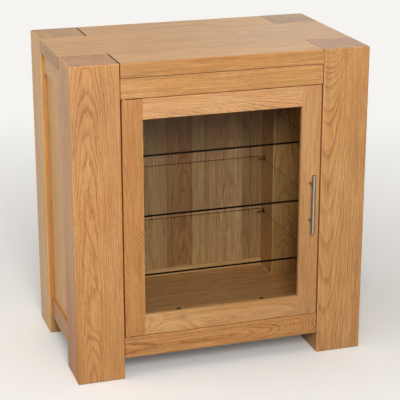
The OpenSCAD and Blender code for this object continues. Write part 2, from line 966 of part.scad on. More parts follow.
module clip_screw_holes() {
    at_clips() at_clip_screw() countersunk_hole(small_screw_d, clip_screw_l);
}

module glass_clips() {
    lip = door_t - rebate_lip - pane_t;
    color("dimgray")
        at_clips()
            difference() {
                union() {
                    span([-clip_w / 2, -clip_show, -clip_t], [clip_w / 2, rebate_w + clip_foot, 0]);
                    span([-clip_w / 2, -clip_show, -clip_t], [clip_w / 2, rebate_w - pane_gap, lip]);
                }
                at_clip_screw() countersunk_hole(small_screw_d, clip_screw_l);
            }
}

module glass_clip_screws() {
    color("silver") at_clips() at_clip_screw() countersunk_screw(small_screw_d, clip_screw_l);
}

// Bar handle on two posts, screwed on from behind

// Puts its children at the foot of each post, on the back of the door, pointing into the door
module at_posts() {
    for (z = [-post_pitch / 2, post_pitch / 2])
        translate([handle_x, door_back_y, handle_z + z]) rotate([-90, 0, 0]) children();
}

module handle_bar() {
    color("silver")
        difference() {
            translate([handle_x, bar_y, handle_z - bar_l / 2])
                rotate_extrude()
                    polygon([
                        [0, 0], [bar_d / 2 - bar_chamfer, 0], [bar_d / 2, bar_chamfer],
                        [bar_d / 2, bar_l - bar_chamfer], [bar_d / 2 - bar_chamfer, bar_l], [0, bar_l]
                    ]);
            for (z = [-post_pitch / 2, post_pitch / 2])
                translate([handle_x, bar_y + bar_d / 2 - post_in_bar, handle_z + z])
                    rotate([-90, 0, 0]) cylinder(h = post_in_bar + past, r = post_d / 2 + fit);
        }
}

module handle_posts() {
    post_l = handle_reach - bar_d + post_in_bar;
    color("silver")
        at_posts()
            difference() {
                translate([0, 0, -door_t - post_l]) cylinder(h = post_l, r = post_d / 2);
                plain_hole(handle_screw_d, door_t + handle_screw_grip);
            }
}

module handle_screws() {
    color("gray")
        at_posts() pan_screw(handle_screw_d, door_t + handle_screw_grip, handle_head_d, handle_head_h);
}

// Magnetic catch behind the door's top rail, at the handle side

module at_catch_screws() {
    for (x = [-catch_screw_x, catch_screw_x])
        translate([catch_x + x, rail_back_y + catch_screw_y, upper_rail_z - catch_ear_t])
            rotate([180, 0, 0]) children();
}

module catch_block() {
    color("burlywood")
        difference() {
            span([catch_x - catch_half_w, rail_back_y, upper_rail_z],
                 [catch_x + catch_half_w, rail_back_y + catch_block_d, upper_rail_z + catch_block_h]);
            at_catch_screws() countersunk_hole(small_screw_d, catch_screw_l);
        }
}

module magnet_box() {
    y = catch_front_y - magnet_show;
    span([catch_x - magnet_w / 2, y, magnet_z - magnet_h / 2],
         [catch_x + magnet_w / 2, y + magnet_d, magnet_z + magnet_h / 2]);
}

module catch_body() {
    color("saddlebrown")
        difference() {
            union() {
                span([catch_x - catch_w / 2, catch_front_y, upper_rail_z - catch_h],
                     [catch_x + catch_w / 2, catch_front_y + catch_d, upper_rail_z]);
                span([catch_x - catch_half_w, catch_front_y, upper_rail_z - catch_ear_t],
                     [catch_x + catch_half_w, catch_front_y + catch_d, upper_rail_z]);
            }
            magnet_box();
            at_catch_screws() countersunk_hole(small_screw_d, catch_screw_l);
        }
}

module catch_magnet() {
    color("dimgray") magnet_box();
}

module catch_screws() {
    color("gold") at_catch_screws() countersunk_screw(small_screw_d, catch_screw_l);
}

module strike_plate_box() {
    span([catch_x - strike_w / 2, door_back_y - strike_t, magnet_z - strike_h / 2],
         [catch_x + strike_w / 2, door_back_y, magnet_z + strike_h / 2]);
}

module at_strike_screw() {
    translate([catch_x, door_back_y, magnet_z]) rotate([-90, 0, 0]) children();
}

module strike_seat() {
    strike_plate_box();
    at_strike_screw() countersunk_hole(small_screw_d, clip_screw_l);
}

module catch_strike() {
    color("silver")
        difference() {
            strike_plate_box();
            at_strike_screw() countersunk_hole(small_screw_d, clip_screw_l);
        }
}

module catch_strike_screw() {
    color("silver") at_strike_screw() countersunk_screw(small_screw_d, clip_screw_l);
}

front_leg();  // leg_front_left
mirror([1, 0, 0]) front_leg();  // leg_front_right
rear_leg();  // leg_rear_left
mirror([1, 0, 0]) rear_leg();  // leg_rear_right
top_plank();
front_apron();
plinth_rail();
rear_top_rail();
rear_bottom_rail();
mirror([1, 0, 0]) side_top_rail();  // side_top_rail_left
side_top_rail();  // side_top_rail_right
mirror([1, 0, 0]) side_bottom_rail();  // side_bottom_rail_left
side_bottom_rail();  // side_bottom_rail_right
mirror([1, 0, 0]) side_panel();  // side_panel_left
side_panel();  // side_panel_right
back_board(0);  // back_board_1
back_board(1);  // back_board_2
back_board(2);  // back_board_3
back_board(3);  // back_board_4
back_board(4);  // back_board_5
back_board(5);  // back_board_6
back_board(6);  // back_board_7
floor_panel();
floor_batten_across(rail_back_y);  // floor_batten_front
floor_batten_across(back_rail_y - batten);  // floor_batten_rear
mirror([1, 0, 0]) floor_batten_side();  // floor_batten_left
floor_batten_side();  // floor_batten_right
floor_batten_screws();
top_brackets();
top_bracket_screws();
glass_shelf(2);  // glass_shelf_upper
glass_shelf(1);  // glass_shelf_middle
glass_shelf(0);  // glass_shelf_lower
shelf_supports(2);  // shelf_supports_upper
shelf_supports(1);  // shelf_supports_middle
shelf_supports(0);  // shelf_supports_lower
shelf_pads();
hinge_frame_leaves();
hinge_pins();
hinge_washers();
hinge_frame_screws();
catch_block();
catch_body();
catch_magnet();
catch_screws();
door_stile_hinge();
door_stile_handle();
door_rail_top();
door_rail_bottom();
door_glass();
glass_clips();
glass_clip_screws();
hinge_door_leaves();
hinge_door_screws();
handle_bar();
handle_posts();
handle_screws();
catch_strike();
catch_strike_screw();
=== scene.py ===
"""The looks of a solid oak tv unit with a glazed door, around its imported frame.

Lengths are metres, except inside the wood, where the shader counts in millimetres.
"""

import math
from typing import NamedTuple

import bmesh
import bpy
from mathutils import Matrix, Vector


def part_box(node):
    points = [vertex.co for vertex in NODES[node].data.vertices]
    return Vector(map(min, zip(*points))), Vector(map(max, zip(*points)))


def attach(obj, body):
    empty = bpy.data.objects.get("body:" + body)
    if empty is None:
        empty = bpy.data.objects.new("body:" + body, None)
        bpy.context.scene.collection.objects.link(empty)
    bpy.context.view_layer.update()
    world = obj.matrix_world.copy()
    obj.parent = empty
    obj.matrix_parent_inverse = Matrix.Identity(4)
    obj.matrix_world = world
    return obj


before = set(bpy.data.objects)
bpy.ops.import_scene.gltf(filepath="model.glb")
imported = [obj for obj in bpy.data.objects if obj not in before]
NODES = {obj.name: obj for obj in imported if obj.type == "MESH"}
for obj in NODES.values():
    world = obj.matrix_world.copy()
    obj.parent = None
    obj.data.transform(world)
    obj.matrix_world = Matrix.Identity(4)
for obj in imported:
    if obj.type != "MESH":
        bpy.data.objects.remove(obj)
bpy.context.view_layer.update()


# Colours and units

def srgb(red, green, blue):
    """A colour as it is seen, from 0 to 255, turned into the linear numbers that a shader takes."""

    def linear(level):
        share = level / 255
        return share / 12.92 if share <= 0.04045 else ((share + 0.055) / 1.055) ** 2.4

    return (linear(red), linear(green), linear(blue), 1.0)


MM_PER_M = 1000
BLACK = (0, 0, 0, 1)


# Node building

class Wire:
    """A node's output. Plain arithmetic on it adds the Math nodes that work it out."""

    def __init__(self, tree, socket):
        self.tree = tree
        self.socket = socket

    def math(self, operation, *others):
        node = self.tree.nodes.new("ShaderNodeMath")
        node.operation = operation
        for place, value in enumerate((self, *others)):
            plug(self.tree, node.inputs[place], value)
        return Wire(self.tree, node.outputs[0])

    def __add__(self, other):
        return self.math("ADD", other)

    def __sub__(self, other):
        return self.math("SUBTRACT", other)

    def __mul__(self, other):
        return self.math("MULTIPLY", other)

    def __truediv__(self, other):
        return self.math("DIVIDE", other)

    def squared(self):
        return self * self

    def over(self, low, high):
        """0 at low and 1 at high, with a straight slope between them and level outside them."""
        return ((self - low) / (high - low)).math("MAXIMUM", 0.0).math("MINIMUM", 1.0)


def plug(tree, socket, value):
    """Joins a wire to an input, or sets the input to a plain number or colour."""
    if isinstance(value, Wire):
        tree.links.new(value.socket, socket)
    else:
        socket.default_value = value


class Shading:
    """An emptied node tree and short calls for the nodes that the looks use."""

    def __init__(self, tree):
        self.tree = tree
        self.tree.nodes.clear()

    def add(self, kind, inputs, output=0, **settings):
        node = self.tree.nodes.new(kind)
        for name, value in settings.items():
            setattr(node, name, value)
        for name, value in inputs.items():
            plug(self.tree, node.inputs[name], value)
        return Wire(self.tree, node.outputs[output])

    def number(self, value):
        """A plain number as a wire, to start a sum from."""
        wire = self.add("ShaderNodeValue", {})
        wire.socket.default_value = value
        return wire

    def coordinate(self, output="Object"):
        return self.add("ShaderNodeTexCoord", {}, output)

    def axes(self, vector):
        """The X, Y and Z of a vector as three wires."""
        node = self.tree.nodes.new("ShaderNodeSeparateXYZ")
        plug(self.tree, node.inputs[0], vector)
        return [Wire(self.tree, socket) for socket in node.outputs]

    def join(self, x, y, z):
        return self.add("ShaderNodeCombineXYZ", {0: x, 1: y, 2: z})

    def noise(self, vector, sizes, detail=1.0):
        """Soft noise from -0.5 to 0.5, with blobs of the given sizes along each axis."""
        scaled = self.add("ShaderNodeVectorMath", {0: vector, 1: sizes}, operation="DIVIDE")
        return self.add("ShaderNodeTexNoise", {"Vector": scaled, "Scale": 1.0, "Detail": detail}) - 0.5

    def chance(self, number):
        """A number from 0 to 1 that jumps with each whole number."""
        return self.add("ShaderNodeTexWhiteNoise", {"W": number}, noise_dimensions="1D")

    def curve(self, factor, points):
        """A grey ramp through (place, level) points, from place 0 to place 1."""
        node = self.tree.nodes.new("ShaderNodeValToRGB")
        stops = node.color_ramp.elements
        for place, level in points[1:-1]:
            stops.new(place)
        for stop, (place, level) in zip(stops, points):
            stop.color = (level, level, level, 1)
        plug(self.tree, node.inputs[0], factor)
        return Wire(self.tree, node.outputs[0])

    def blend(self, factor, first, second, way="MIX"):
        """Two colours mixed, or the first one multiplied by the second."""
        node = self.tree.nodes.new("ShaderNodeMix")
        node.data_type = "RGBA"
        node.blend_type = way
        colours = [socket for socket in node.inputs if socket.type == "RGBA"]
        plug(self.tree, node.inputs[0], factor)
        plug(self.tree, colours[0], first)
        plug(self.tree, colours[1], second)
        return Wire(self.tree, [socket for socket in node.outputs if socket.type == "RGBA"][0])

    def mix_shaders(self, factor, first, second):
        return self.add("ShaderNodeMixShader", {0: factor, 1: first, 2: second})

    def bump(self, height, depth, strength):
        """A normal from a height between 0 and 1, which stands for depth in metres."""
        return self.add("ShaderNodeBump", {"Height": height, "Distance": depth, "Strength": strength})

    def principled(self, **sockets):
        """The main shader. Each keyword is a socket's name with _ for its spaces."""
        inputs = {name.replace("_", " "): value for name, value in sockets.items()}
        return self.add("ShaderNodeBsdfPrincipled", inputs)

    def any_ray(self, *kinds):
        """1 for rays of any of these kinds, named as on the Light Path node, and 0 for the rest."""
        path = self.tree.nodes.new("ShaderNodeLightPath")
        found = Wire(self.tree, path.outputs[kinds[0]])
        for kind in kinds[1:]:
            found = found.math("MAXIMUM", Wire(self.tree, path.outputs[kind]))
        return found

    def sees_background(self):
        """1 for the camera's rays and for those that a mirror or glass sends on."""
        return self.any_ray("Is Camera Ray", "Is Glossy Ray", "Is Transmission Ray")


class Finish(Shading):
    """A new material."""

    def __init__(self, name):
        self.material = bpy.data.materials.new(name)
        self.material.use_nodes = True
        super().__init__(self.material.node_tree)

    def done(self, shader):
        out = self.tree.nodes.new("ShaderNodeOutputMaterial")
        plug(self.tree, out.inputs["Surface"], shader)
        return self.material


def dress(node, material):
    """Gives a CAD node its material."""
    mesh = NODES[node].data
    mesh.materials.clear()
    mesh.materials.append(material)


# Camera and lights

CAMERA_PLACE = Vector((-1.03166, -3.21873, 1.50832))
CAMERA_AZIMUTH = math.radians(-17.881)
CAMERA_HEIGHT_ANGLE = math.radians(18.520)
CAMERA_LENS = 123.66


def aim(thing, place, target):
    """Puts a camera or lamp at a place, looking at a target."""
    thing.location = place
    thing.rotation_euler = (Vector(target) - Vector(place)).to_track_quat("-Z", "Y").to_euler()


def make_camera():
    data = bpy.data.cameras.new("camera")
    data.lens = CAMERA_LENS
    camera = bpy.data.objects.new("camera", data)
    bpy.context.scene.collection.objects.link(camera)
    level = math.cos(CAMERA_HEIGHT_ANGLE)
    sight = Vector((
        -math.sin(CAMERA_AZIMUTH) * level,
        math.cos(CAMERA_AZIMUTH) * level,
        -math.sin(CAMERA_HEIGHT_ANGLE),
    ))
    aim(camera, CAMERA_PLACE, CAMERA_PLACE + sight)
    bpy.context.scene.camera = camera


def softbox(name, place, target, size, power, lights=True, gleams=True):
    """A square lamp. It lights dull surfaces, gleams in shiny ones, or both."""
    data = bpy.data.lights.new(name, "AREA")
    data.size = size
    data.energy = power
    lamp = bpy.data.objects.new(name, data)
    lamp.visible_diffuse = lights
    lamp.visible_glossy = gleams
    bpy.context.scene.collection.objects.link(lamp)
    aim(lamp, place, target)


SKY_LIGHT = 0.28
BACKDROP = srgb(246, 244, 240)


def make_world():
    world = bpy.data.worlds.new("studio")
    world.use_nodes = True
    bpy.context.scene.world = world
    sky = Shading(world.node_tree)
    colour = sky.blend(sky.sees_background(), (SKY_LIGHT, SKY_LIGHT, SKY_LIGHT, 1), BACKDROP)
    out = sky.tree.nodes.new("ShaderNodeOutputWorld")
    plug(sky.tree, out.inputs["Surface"], sky.add("ShaderNodeBackground", {"Color": colour}))


FLOOR_HALF = 10.0
FLOOR_DROP = 0.0003
FLOOR_GLOW = 0.10
FLOOR_NEAR = 0.6
FLOOR_FAR = 2.4
FLOOR_BOUNCE = (0.16, 0.15, 0.13, 1)


def make_floor():
    """A pale floor that fades into the backdrop and throws little light back on the cabinet."""
    mesh = bpy.data.meshes.new("floor")
    corners = [(-1, -1), (1, -1), (1, 1), (-1, 1)]
    mesh.from_pydata([(x * FLOOR_HALF, y * FLOOR_HALF, 0) for x, y in corners], [], [(0, 1, 2, 3)])
    floor = bpy.data.objects.new("floor", mesh)
    floor.location.z = -FLOOR_DROP
    bpy.context.scene.collection.objects.link(floor)
    finish = Finish("floor_paint")
    place = finish.coordinate()
    tone = finish.noise(place, (1.4, 1.4, 1.4))
    pale = finish.blend(tone + 0.5, srgb(236, 233, 228), srgb(241, 239, 235))
    paint = finish.add("ShaderNodeBsdfDiffuse", {"Color": pale})
    glow = finish.add("ShaderNodeEmission", {"Color": BACKDROP, "Strength": FLOOR_GLOW})
    near = finish.add("ShaderNodeAddShader", {0: paint, 1: glow})
    away = finish.add("ShaderNodeEmission", {"Color": BACKDROP, "Strength": 1.0})
    distance = finish.add("ShaderNodeVectorMath", {0: place}, "Value", operation="LENGTH")
    lit = finish.mix_shaders(distance.over(FLOOR_NEAR, FLOOR_FAR), near, away)
    bounce = finish.add("ShaderNodeBsdfDiffuse", {"Color": FLOOR_BOUNCE})
    mesh.materials.append(finish.done(finish.mix_shaders(finish.sees_background(), bounce, lit)))


# Oak

# Which world axis runs across, into and along each kind of board
POST = "XYZ"
SIDE_PANEL = "YXZ"
CROSS_RAIL = "ZYX"
FLAT = "YZX"
SIDE_RAIL = "ZXY"

HONEY = srgb(214, 156, 95)

# What each feature multiplies the colour of the wood by
LINE_TINT = (0.54, 0.36, 0.21, 1)
DEEP_TINT = (0.95, 0.86, 0.74, 1)
PALE_TINT = (1.03, 1.05, 1.09, 1)
ROSY_TINT = (1.02, 0.985, 0.985, 1)
GOLDEN_TINT = (0.985, 1.015, 0.98, 1)
STREAK_TINT = (1.14, 1.19, 1.27, 1)
# Painted shade: darker and cooler
COOL_SHADE_PATCH = (0.88, 0.90, 0.96, 1)
END_TINT = (0.68, 0.66, 0.66, 1)
PALE_PATCH = (1.25, 1.40, 1.50, 1)
# Painted shade: darker and warmer, as where a darker floor is reflected
WARM_SHADE_PATCH = (0.85, 0.60, 0.08, 1)
# Painted sheen: paler and cooler
SHEEN_PATCH = (1.15, 1.20, 1.35, 1)
EDGE_PATCH = (0.86, 0.72, 0.66, 1)
FLECK_TINT = (1.20, 1.24, 1.30, 1)
MARK_TINT = (0.38, 0.26, 0.18, 1)
SEAM_TINT = (0.20, 0.12, 0.07, 1)
# Painted highlights where light catches the eased edges
ARRIS_HIGHLIGHT_TINT = (1.24, 1.27, 1.30, 1)
BRIGHT_ARRIS_HIGHLIGHT = (1.55, 1.65, 1.80, 1)
# Lightens two to three times, most in blue, for a thin pale line and spot low inside the cabinet
STRONG_PALE_TINT = (1.9, 2.2, 2.8, 1)

# About how far the painted highlight of an edge reaches onto its faces, in millimetres
ARRIS = 1.4

# How far apart boards and staves lie in the noise, so that no two have the same grain
BOARD_STEP = 173.0
STAVE_STEP = 900.0
ELSEWHERE_ACROSS = 431.0
ELSEWHERE_DEEP = 77.0

OAK_ROUGHNESS = 0.40
OAK_SPECULAR = 0.42
PORE_DEPTH = 0.00012

# How dark the wood is from the start of one year's ring to the next
RING_CURVE = [
    (0.0, 1.0), (0.12, 0.9), (0.24, 0.36), (0.5, 0.10), (0.88, 0.0), (0.96, 0.45), (1.0, 1.0),
]


class Mark(NamedTuple):
    """A soft spot on a board, in millimetres. Its lean is how far it slants across for each 1 along."""

    across: float
    along: float
    half_width: float
    half_length: float
    strength: float
    lean: float = 0.0
    tint: tuple = MARK_TINT


class Seam(NamedTuple):
    """A dark joint line, also painted shade under an overhang, at one place across or along a board,
    from start to end the other way.
    """

    way: str
    place: float
    half: float = 1.0
    start: float = -10000.0
    end: float = 10000.0


class Board:
    """A board's own coordinates, in millimetres from its low corner."""

    def __init__(self, finish, node, axes, inset, staves, seed):
        low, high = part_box(node)
        letters = ["XYZ".index(axis) for axis in axes]
        world = finish.axes(finish.coordinate())
        self.finish = finish
        self.seed = seed
        self.size = [(high[letter] - low[letter]) * MM_PER_M for letter in letters]
        self.across, self.depth, self.along = [
            (world[letter] - low[letter]) * MM_PER_M for letter in letters
        ]
        self.arris = self.edges()
        self.end_facing = finish.axes(finish.coordinate("Normal"))[letters[2]].math("ABSOLUTE")
        self.along = self.along - inset
        self.grain_across = self.across
        self.stave_tone = finish.number(0.5)
        shift = finish.number(seed * BOARD_STEP)
        if staves:
            shift = shift + self.split(*staves) * STAVE_STEP
        self.place = finish.join(self.grain_across, self.depth, self.along + shift)
        self.elsewhere = finish.join(
            self.grain_across + ELSEWHERE_ACROSS, self.depth + ELSEWHERE_DEEP, self.along - shift)

    def edges(self):
        """1 on the board's eased edges, where two of its faces meet."""
        near = []
        for value, size in zip((self.across, self.depth, self.along), self.size):
            off = ((value - size / 2).math("ABSOLUTE") - size / 2).math("ABSOLUTE")
            near.append(off.over(ARRIS * 1.3, ARRIS * 0.7))
        first = (near[0] * near[1]).math("MAXIMUM", near[1] * near[2])
        return first.math("MAXIMUM", near[0] * near[2])

    def split(self, way, width, first):
        """Makes the board of glued staves, each with grain of its own."""
        count = ((self.across if way == "across" else self.depth) - first) / width
        index = count.math("FLOOR")
        self.stave_tone = self.finish.chance(index + self.seed * 7.31 + 0.5)
        if way == "across":
            self.grain_across = (count - index) * width + (self.stave_tone - 0.5) * width
        return self.stave_tone

    def spot(self, across, along, half_width, half_length, lean=0.0):
        """1 at a place on the board, fading to 0 past its half width and half length."""
        u = self.along - along
        a = self.across - across - u * lean
        falloff = (a / half_width).squared() + (u / half_length).squared()
        return (falloff * -1.0).math("EXPONENT")

    def seam(self, way, place, half, start, end):
        """1 on a joint line and 0 off it."""
        here, other = (self.across, self.along) if way == "across" else (self.along, self.across)
        off = (here - place).math("ABSOLUTE")
        inside = other.over(start, start + 1.0) * other.over(end, end - 1.0)
        return off.over(half * 1.5, half * 0.5) * inside

    def year_rings(self, pith=40, far=70, tilt=0.02, ring=2.8, wave=4.0, ripple=1.0, leans=(),
                   swirls=()):
        """How dark the year rings' lines are on each point, and which year it is.

        The rings are tubes round a pith that leans away in front of the face. pith is where
        it lies across the board and far how far in front of its lower end, tilt how much
        further it is with each unit of length, and ring the rings' spacing. wave is how far
        they wander and ripple how ragged they are. Leans are stretches where the pith moves
        faster, as (place, half length, extra distance). Swirls push the rings about, as
        (across, along, half width, half length, rings).
        """
        finish = self.finish
        aside = self.grain_across - pith + finish.noise(self.place, (60, 60, 240)) * (2.0 * wave)
        reach = self.along * tilt + far + self.depth
        reach = reach + finish.noise(self.elsewhere, (90, 90, 170)) * (2.0 * wave)
        for place, half_length, amount in leans:
            reach = reach + ((self.along - place) / half_length).math("TANH") * (amount / 2)
        rings = (aside.squared() + reach.squared()).math("SQRT") / ring
        for place_across, place_along, half_width, half_length, amount in swirls:
            rings = rings + self.spot(place_across, place_along, half_width, half_length) * amount
        rings = rings + finish.noise(finish.join(rings, self.seed * 3.7, 0.0), (2.6, 1, 1)) * 1.3
        rings = rings + finish.noise(self.place, (9, 9, 46), detail=2.0) * (0.9 * ripple)
        rings = rings + finish.noise(self.place, (1.3, 1.3, 13)) * (0.75 * ripple)
        year = rings.math("FLOOR")
        band = finish.curve(rings - year, RING_CURVE)
        weight = finish.chance(year + self.seed * 0.37) * 0.6 + 0.4
        fade = finish.noise(self.place, (20, 20, 110)).over(-0.22, 0.10) * 0.5 + 0.5
        return band * weight * fade, band


def oak(node, axes, colour=HONEY, lines=0.8, fleck=0.3, grain=1.0, arris=0.5,
        arris_tint=ARRIS_HIGHLIGHT_TINT, staves=None, marks=(), seams=(), inset=0, seed=0, **growth):
    """Oiled and lacquered oak for one board.

    lines is how strong the year rings show, fleck the pale rays, grain the fine streaks and
    arris the painted highlight where light catches the eased edges, which takes arris_tint.
    Staves are (which way they lie side by side, width, first edge), marks are soft spots,
    among them painted light and painted shade, and seams are dark joint lines, partly painted
    shade where one lies under an overhang. Places along a rail start at its shoulder, inset
    from the end of its tenon. Growth is passed to Board.year_rings.
    """
    finish = Finish(f"oak_{node}")
    board = Board(finish, node, axes, inset, staves, seed)
    years, band = board.year_rings(**growth)
    line = years * lines

    fine = finish.noise(board.place, (2.0, 2.0, 60), detail=3.0)
    coarse = finish.noise(board.elsewhere, (4.6, 4.6, 190), detail=2.0)
    speck = finish.noise(board.elsewhere, (1.7, 1.7, 15), detail=2.0)
    broad = finish.noise(board.place, (34, 34, 260), detail=2.0)
    blush = finish.noise(board.elsewhere, (26, 26, 190), detail=2.0)
    hue = finish.noise(board.elsewhere, (13, 13, 70), detail=2.0).over(-0.2, 0.2)
    pores = finish.noise(board.place, (0.6, 0.6, 8)).over(0.11, 0.22) * (band * 0.7 + 0.3)
    rays = finish.noise(board.place, (1.8, 1.8, 9)).over(0.15, 0.22) * fleck
    pale = finish.noise(board.elsewhere, (2.4, 2.4, 120), detail=1.0).over(0.08, 0.22) * grain

    deep = tuple(level * tint for level, tint in zip(colour, DEEP_TINT))
    body = finish.blend(blush.over(-0.05, 0.3), colour, deep)
    body = finish.blend(blush.over(0.05, -0.3), body, PALE_TINT, "MULTIPLY")
    body = finish.blend(1.0, body, finish.blend(hue, ROSY_TINT, GOLDEN_TINT), "MULTIPLY")
    body = finish.blend(pale, body, STREAK_TINT, "MULTIPLY")
    body = finish.blend(line, body, LINE_TINT, "MULTIPLY")
    body = finish.blend(pores * 0.55, body, LINE_TINT, "MULTIPLY")
    body = finish.blend(rays, body, FLECK_TINT, "MULTIPLY")
    streaks = fine * 0.62 + coarse * 0.46 + speck * 0.34
    shade = streaks * grain + broad * 0.28 + board.stave_tone * 0.12 + 0.94
    # Darker wood is also warmer
    warm_shade = finish.join(shade * 0.8 + 0.2, shade, shade * 1.3 - 0.3)
    body = finish.blend(1.0, body, warm_shade, "MULTIPLY")
    for mark in marks:
        spot = board.spot(*mark[:4], mark.lean) * mark.strength
        body = finish.blend(spot, body, mark.tint, "MULTIPLY")
    # Painted highlight where light catches the eased edges
    body = finish.blend(board.arris * arris, body, arris_tint, "MULTIPLY")
    for seam in seams:
        body = finish.blend(board.seam(*seam), body, SEAM_TINT, "MULTIPLY")

    patch = finish.noise(board.place, (30, 30, 30)).over(-0.1, 0.15) * 0.4 + 0.6
    body = finish.blend(board.end_facing.over(0.75, 0.95) * patch, body, END_TINT, "MULTIPLY")

    rough = line * 0.10 + pores * 0.12 + broad * 0.10 + OAK_ROUGHNESS
    height = line * -0.5 + pores * -0.5 + fine * 0.3 + 0.7
    shader = finish.principled(Base_Color=body, Roughness=rough, Specular_IOR_Level=OAK_SPECULAR,
                               Normal=finish.bump(height, PORE_DEPTH, 0.6))
    dress(node, finish.done(shader))


# Sizes of the frame and of the lines in its joints, in millimetres
RAIL_TENON = 20
DOOR_TENON = 26
RAIL_LENGTH = 512
LEG_DEPTH = 117
PLANK_END = 120.5
PLANK_LENGTH = 750
PLANK_DEPTH = 450
PLANK_GAP_MIDDLE = 0.7
JOINT_HALF = 1.6

# Each leg is glued up from two staves, one behind the other
LEG_STAVES = ("depth", LEG_DEPTH / 2, 0)

RAIL_ENDS = [Seam("along", 0.4, JOINT_HALF), Seam("along", RAIL_LENGTH - 0.4, JOINT_HALF)]
PLANK_SEAMS = [
    Seam("along", place, JOINT_HALF, start, end)
    for place in (PLANK_END, PLANK_LENGTH - PLANK_END)
    for start, end in ((0, LEG_DEPTH), (PLANK_DEPTH - LEG_DEPTH, PLANK_DEPTH))
]
PLANK_SEAMS += [
    Seam("across", place, 0.9, end=1.5)
    for place in (LEG_DEPTH + PLANK_GAP_MIDDLE, PLANK_DEPTH - LEG_DEPTH - PLANK_GAP_MIDDLE)
]

# Half the length or width of a mark that crosses its whole board
LONG = 4000

# On each side panel the first two marks darken its rear and front edges and the third darkens a line
# across it below the top rail: painted shade where it sits in the grooves of the legs and rail. The
# next four are knots, and the last is painted sheen, paler and cooler towards its foot
PANEL_MARKS = [
    Mark(223, 310, 5, LONG, 0.7), Mark(7, 310, 5, LONG, 0.5), Mark(115, 621, LONG, 3, 0.7),
    Mark(95, 561, 8, 10, 0.35), Mark(98, 452, 9, 10, 0.35), Mark(103, 408, 9, 6, 0.4),
    Mark(101, 598, 7, 16, 0.25), Mark(115, 100, LONG, 170, 0.3, tint=SHEEN_PATCH),
]
BACK_OAK = srgb(222, 176, 126)


def dress_frame():
    oak("leg_front_left", POST, pith=39, far=50, tilt=0.025, ring=3.0, lines=1.0, seed=1, arris=1.0,
        staves=LEG_STAVES, leans=[(745, 70, 9)], swirls=[(44, 180, 20, 70, 2.5)],
        marks=[Mark(49, 691, 3, 3, 0.5), Mark(69, 713, 3, 3, 0.35), Mark(35, 608, 1.6, 1.6, 0.8),
               Mark(41, 372, 1.3, 60, 0.7, -0.30), Mark(21, 315, 1.3, 16, 0.6, -0.35),
               Mark(48, 268, 1.3, 36, 0.6, -0.35), Mark(60, 700, 70, 110, 0.28),
               # The last three marks paint the light on the left face: darker towards its foot and
               # darker and warmer low down (painted shade), paler and cooler at mid height (painted
               # sheen)
               Mark(-25, 40, 28, 190, 0.5), Mark(-2, 60, 4, 200, 0.9, tint=WARM_SHADE_PATCH),
               Mark(-2, 400, 4, 150, 0.25, tint=PALE_PATCH)])
    oak("leg_front_right", POST, pith=16, far=120, tilt=-0.03, ring=2.5, lines=1.0, seed=2, arris=1.0,
        ripple=0.45, wave=2.5, staves=LEG_STAVES, leans=[(770, 70, -27)], grain=1.4,
        marks=[Mark(88, 520, 14, 60, 0.22), Mark(60, 802, 90, 4, 0.2)], colour=srgb(210, 155, 97))
    oak("leg_rear_left", POST, pith=70, far=60, tilt=0.03, ring=2.6, seed=3, arris=1.0,
        staves=LEG_STAVES, colour=srgb(224, 174, 104),
        marks=[Mark(9, 400, 5, LONG, 0.8, tint=EDGE_PATCH), Mark(60, 802, 90, 4, 0.3),
               # Painted sheen: the left face paler and cooler low down
               Mark(-2, 250, 4, 260, 0.5, tint=SHEEN_PATCH),
               Mark(-2, 110, 4, 130, 0.4, tint=SHEEN_PATCH)])
    # Its face inside the cabinet carries painted light and shade: a pale patch of painted light where
    # the door stile's shadow falls, a cooler, darker tone over the face and two darker patches low down
    # as painted shade, and a painted highlight on its edges
    oak("leg_rear_right", POST, pith=32, far=50, tilt=0.03, ring=3.4, seed=4, arris=1.0,
        arris_tint=BRIGHT_ARRIS_HIGHLIGHT, staves=LEG_STAVES, leans=[(230, 60, 24)],
        swirls=[(22, 268, 18, 26, 2.5)], colour=srgb(202, 154, 97), grain=1.5, lines=1.0,
        marks=[Mark(40, 410, 60, 160, 0.75, tint=PALE_PATCH), Mark(60, 150, 60, 110, 0.22),
               Mark(0, 400, 70, LONG, 1.0, tint=COOL_SHADE_PATCH), Mark(100, 120, 45, 150, 0.3)])
    oak("top_plank", FLAT, pith=40, far=120, tilt=0.01, ring=2.6, lines=0.4, seed=5,
        staves=("across", 86, 10), seams=PLANK_SEAMS, colour=srgb(201, 149, 88), grain=1.5,
        marks=[Mark(-2, 375, 5, LONG, 0.5, tint=EDGE_PATCH), Mark(-2, 160, 6, 80, 0.2)])
    # The seam along the apron's top edge, where it meets the plank, is a dark joint and also painted
    # shade under the plank's overhang
    oak("front_apron", CROSS_RAIL, pith=-30, far=60, tilt=0.004, ring=1.9, lines=0.7, seed=6,
        grain=1.6, arris=0.0, inset=RAIL_TENON, seams=[Seam("across", 50.2), *RAIL_ENDS],
        colour=srgb(208, 153, 93))
    oak("plinth_rail", CROSS_RAIL, pith=24, far=60, tilt=0.01, ring=2.4, lines=1.3, seed=7,
        grain=1.4, inset=RAIL_TENON, leans=[(470, 60, 36)], seams=RAIL_ENDS,
        colour=srgb(206, 148, 88))
    oak("rear_top_rail", CROSS_RAIL, inset=RAIL_TENON, seed=8)
    oak("rear_bottom_rail", CROSS_RAIL, inset=RAIL_TENON, seed=9, colour=BACK_OAK, lines=0.5)
    for side, seed in (("left", 10), ("right", 14)):
        oak(f"side_top_rail_{side}", SIDE_RAIL, pith=-40, tilt=0.01, lines=0.5, seed=seed,
            inset=RAIL_TENON, colour=srgb(219, 167, 99))
        oak(f"side_bottom_rail_{side}", SIDE_RAIL, pith=-40, tilt=0.01, lines=0.6, seed=seed + 1,
            inset=RAIL_TENON, colour=srgb(189, 131, 69))
        oak(f"side_panel_{side}", SIDE_PANEL, pith=150, far=60, tilt=0.03, lines=0.6, seed=seed + 2,
            staves=("across", 96, 5), colour=srgb(225, 171, 105), marks=PANEL_MARKS)
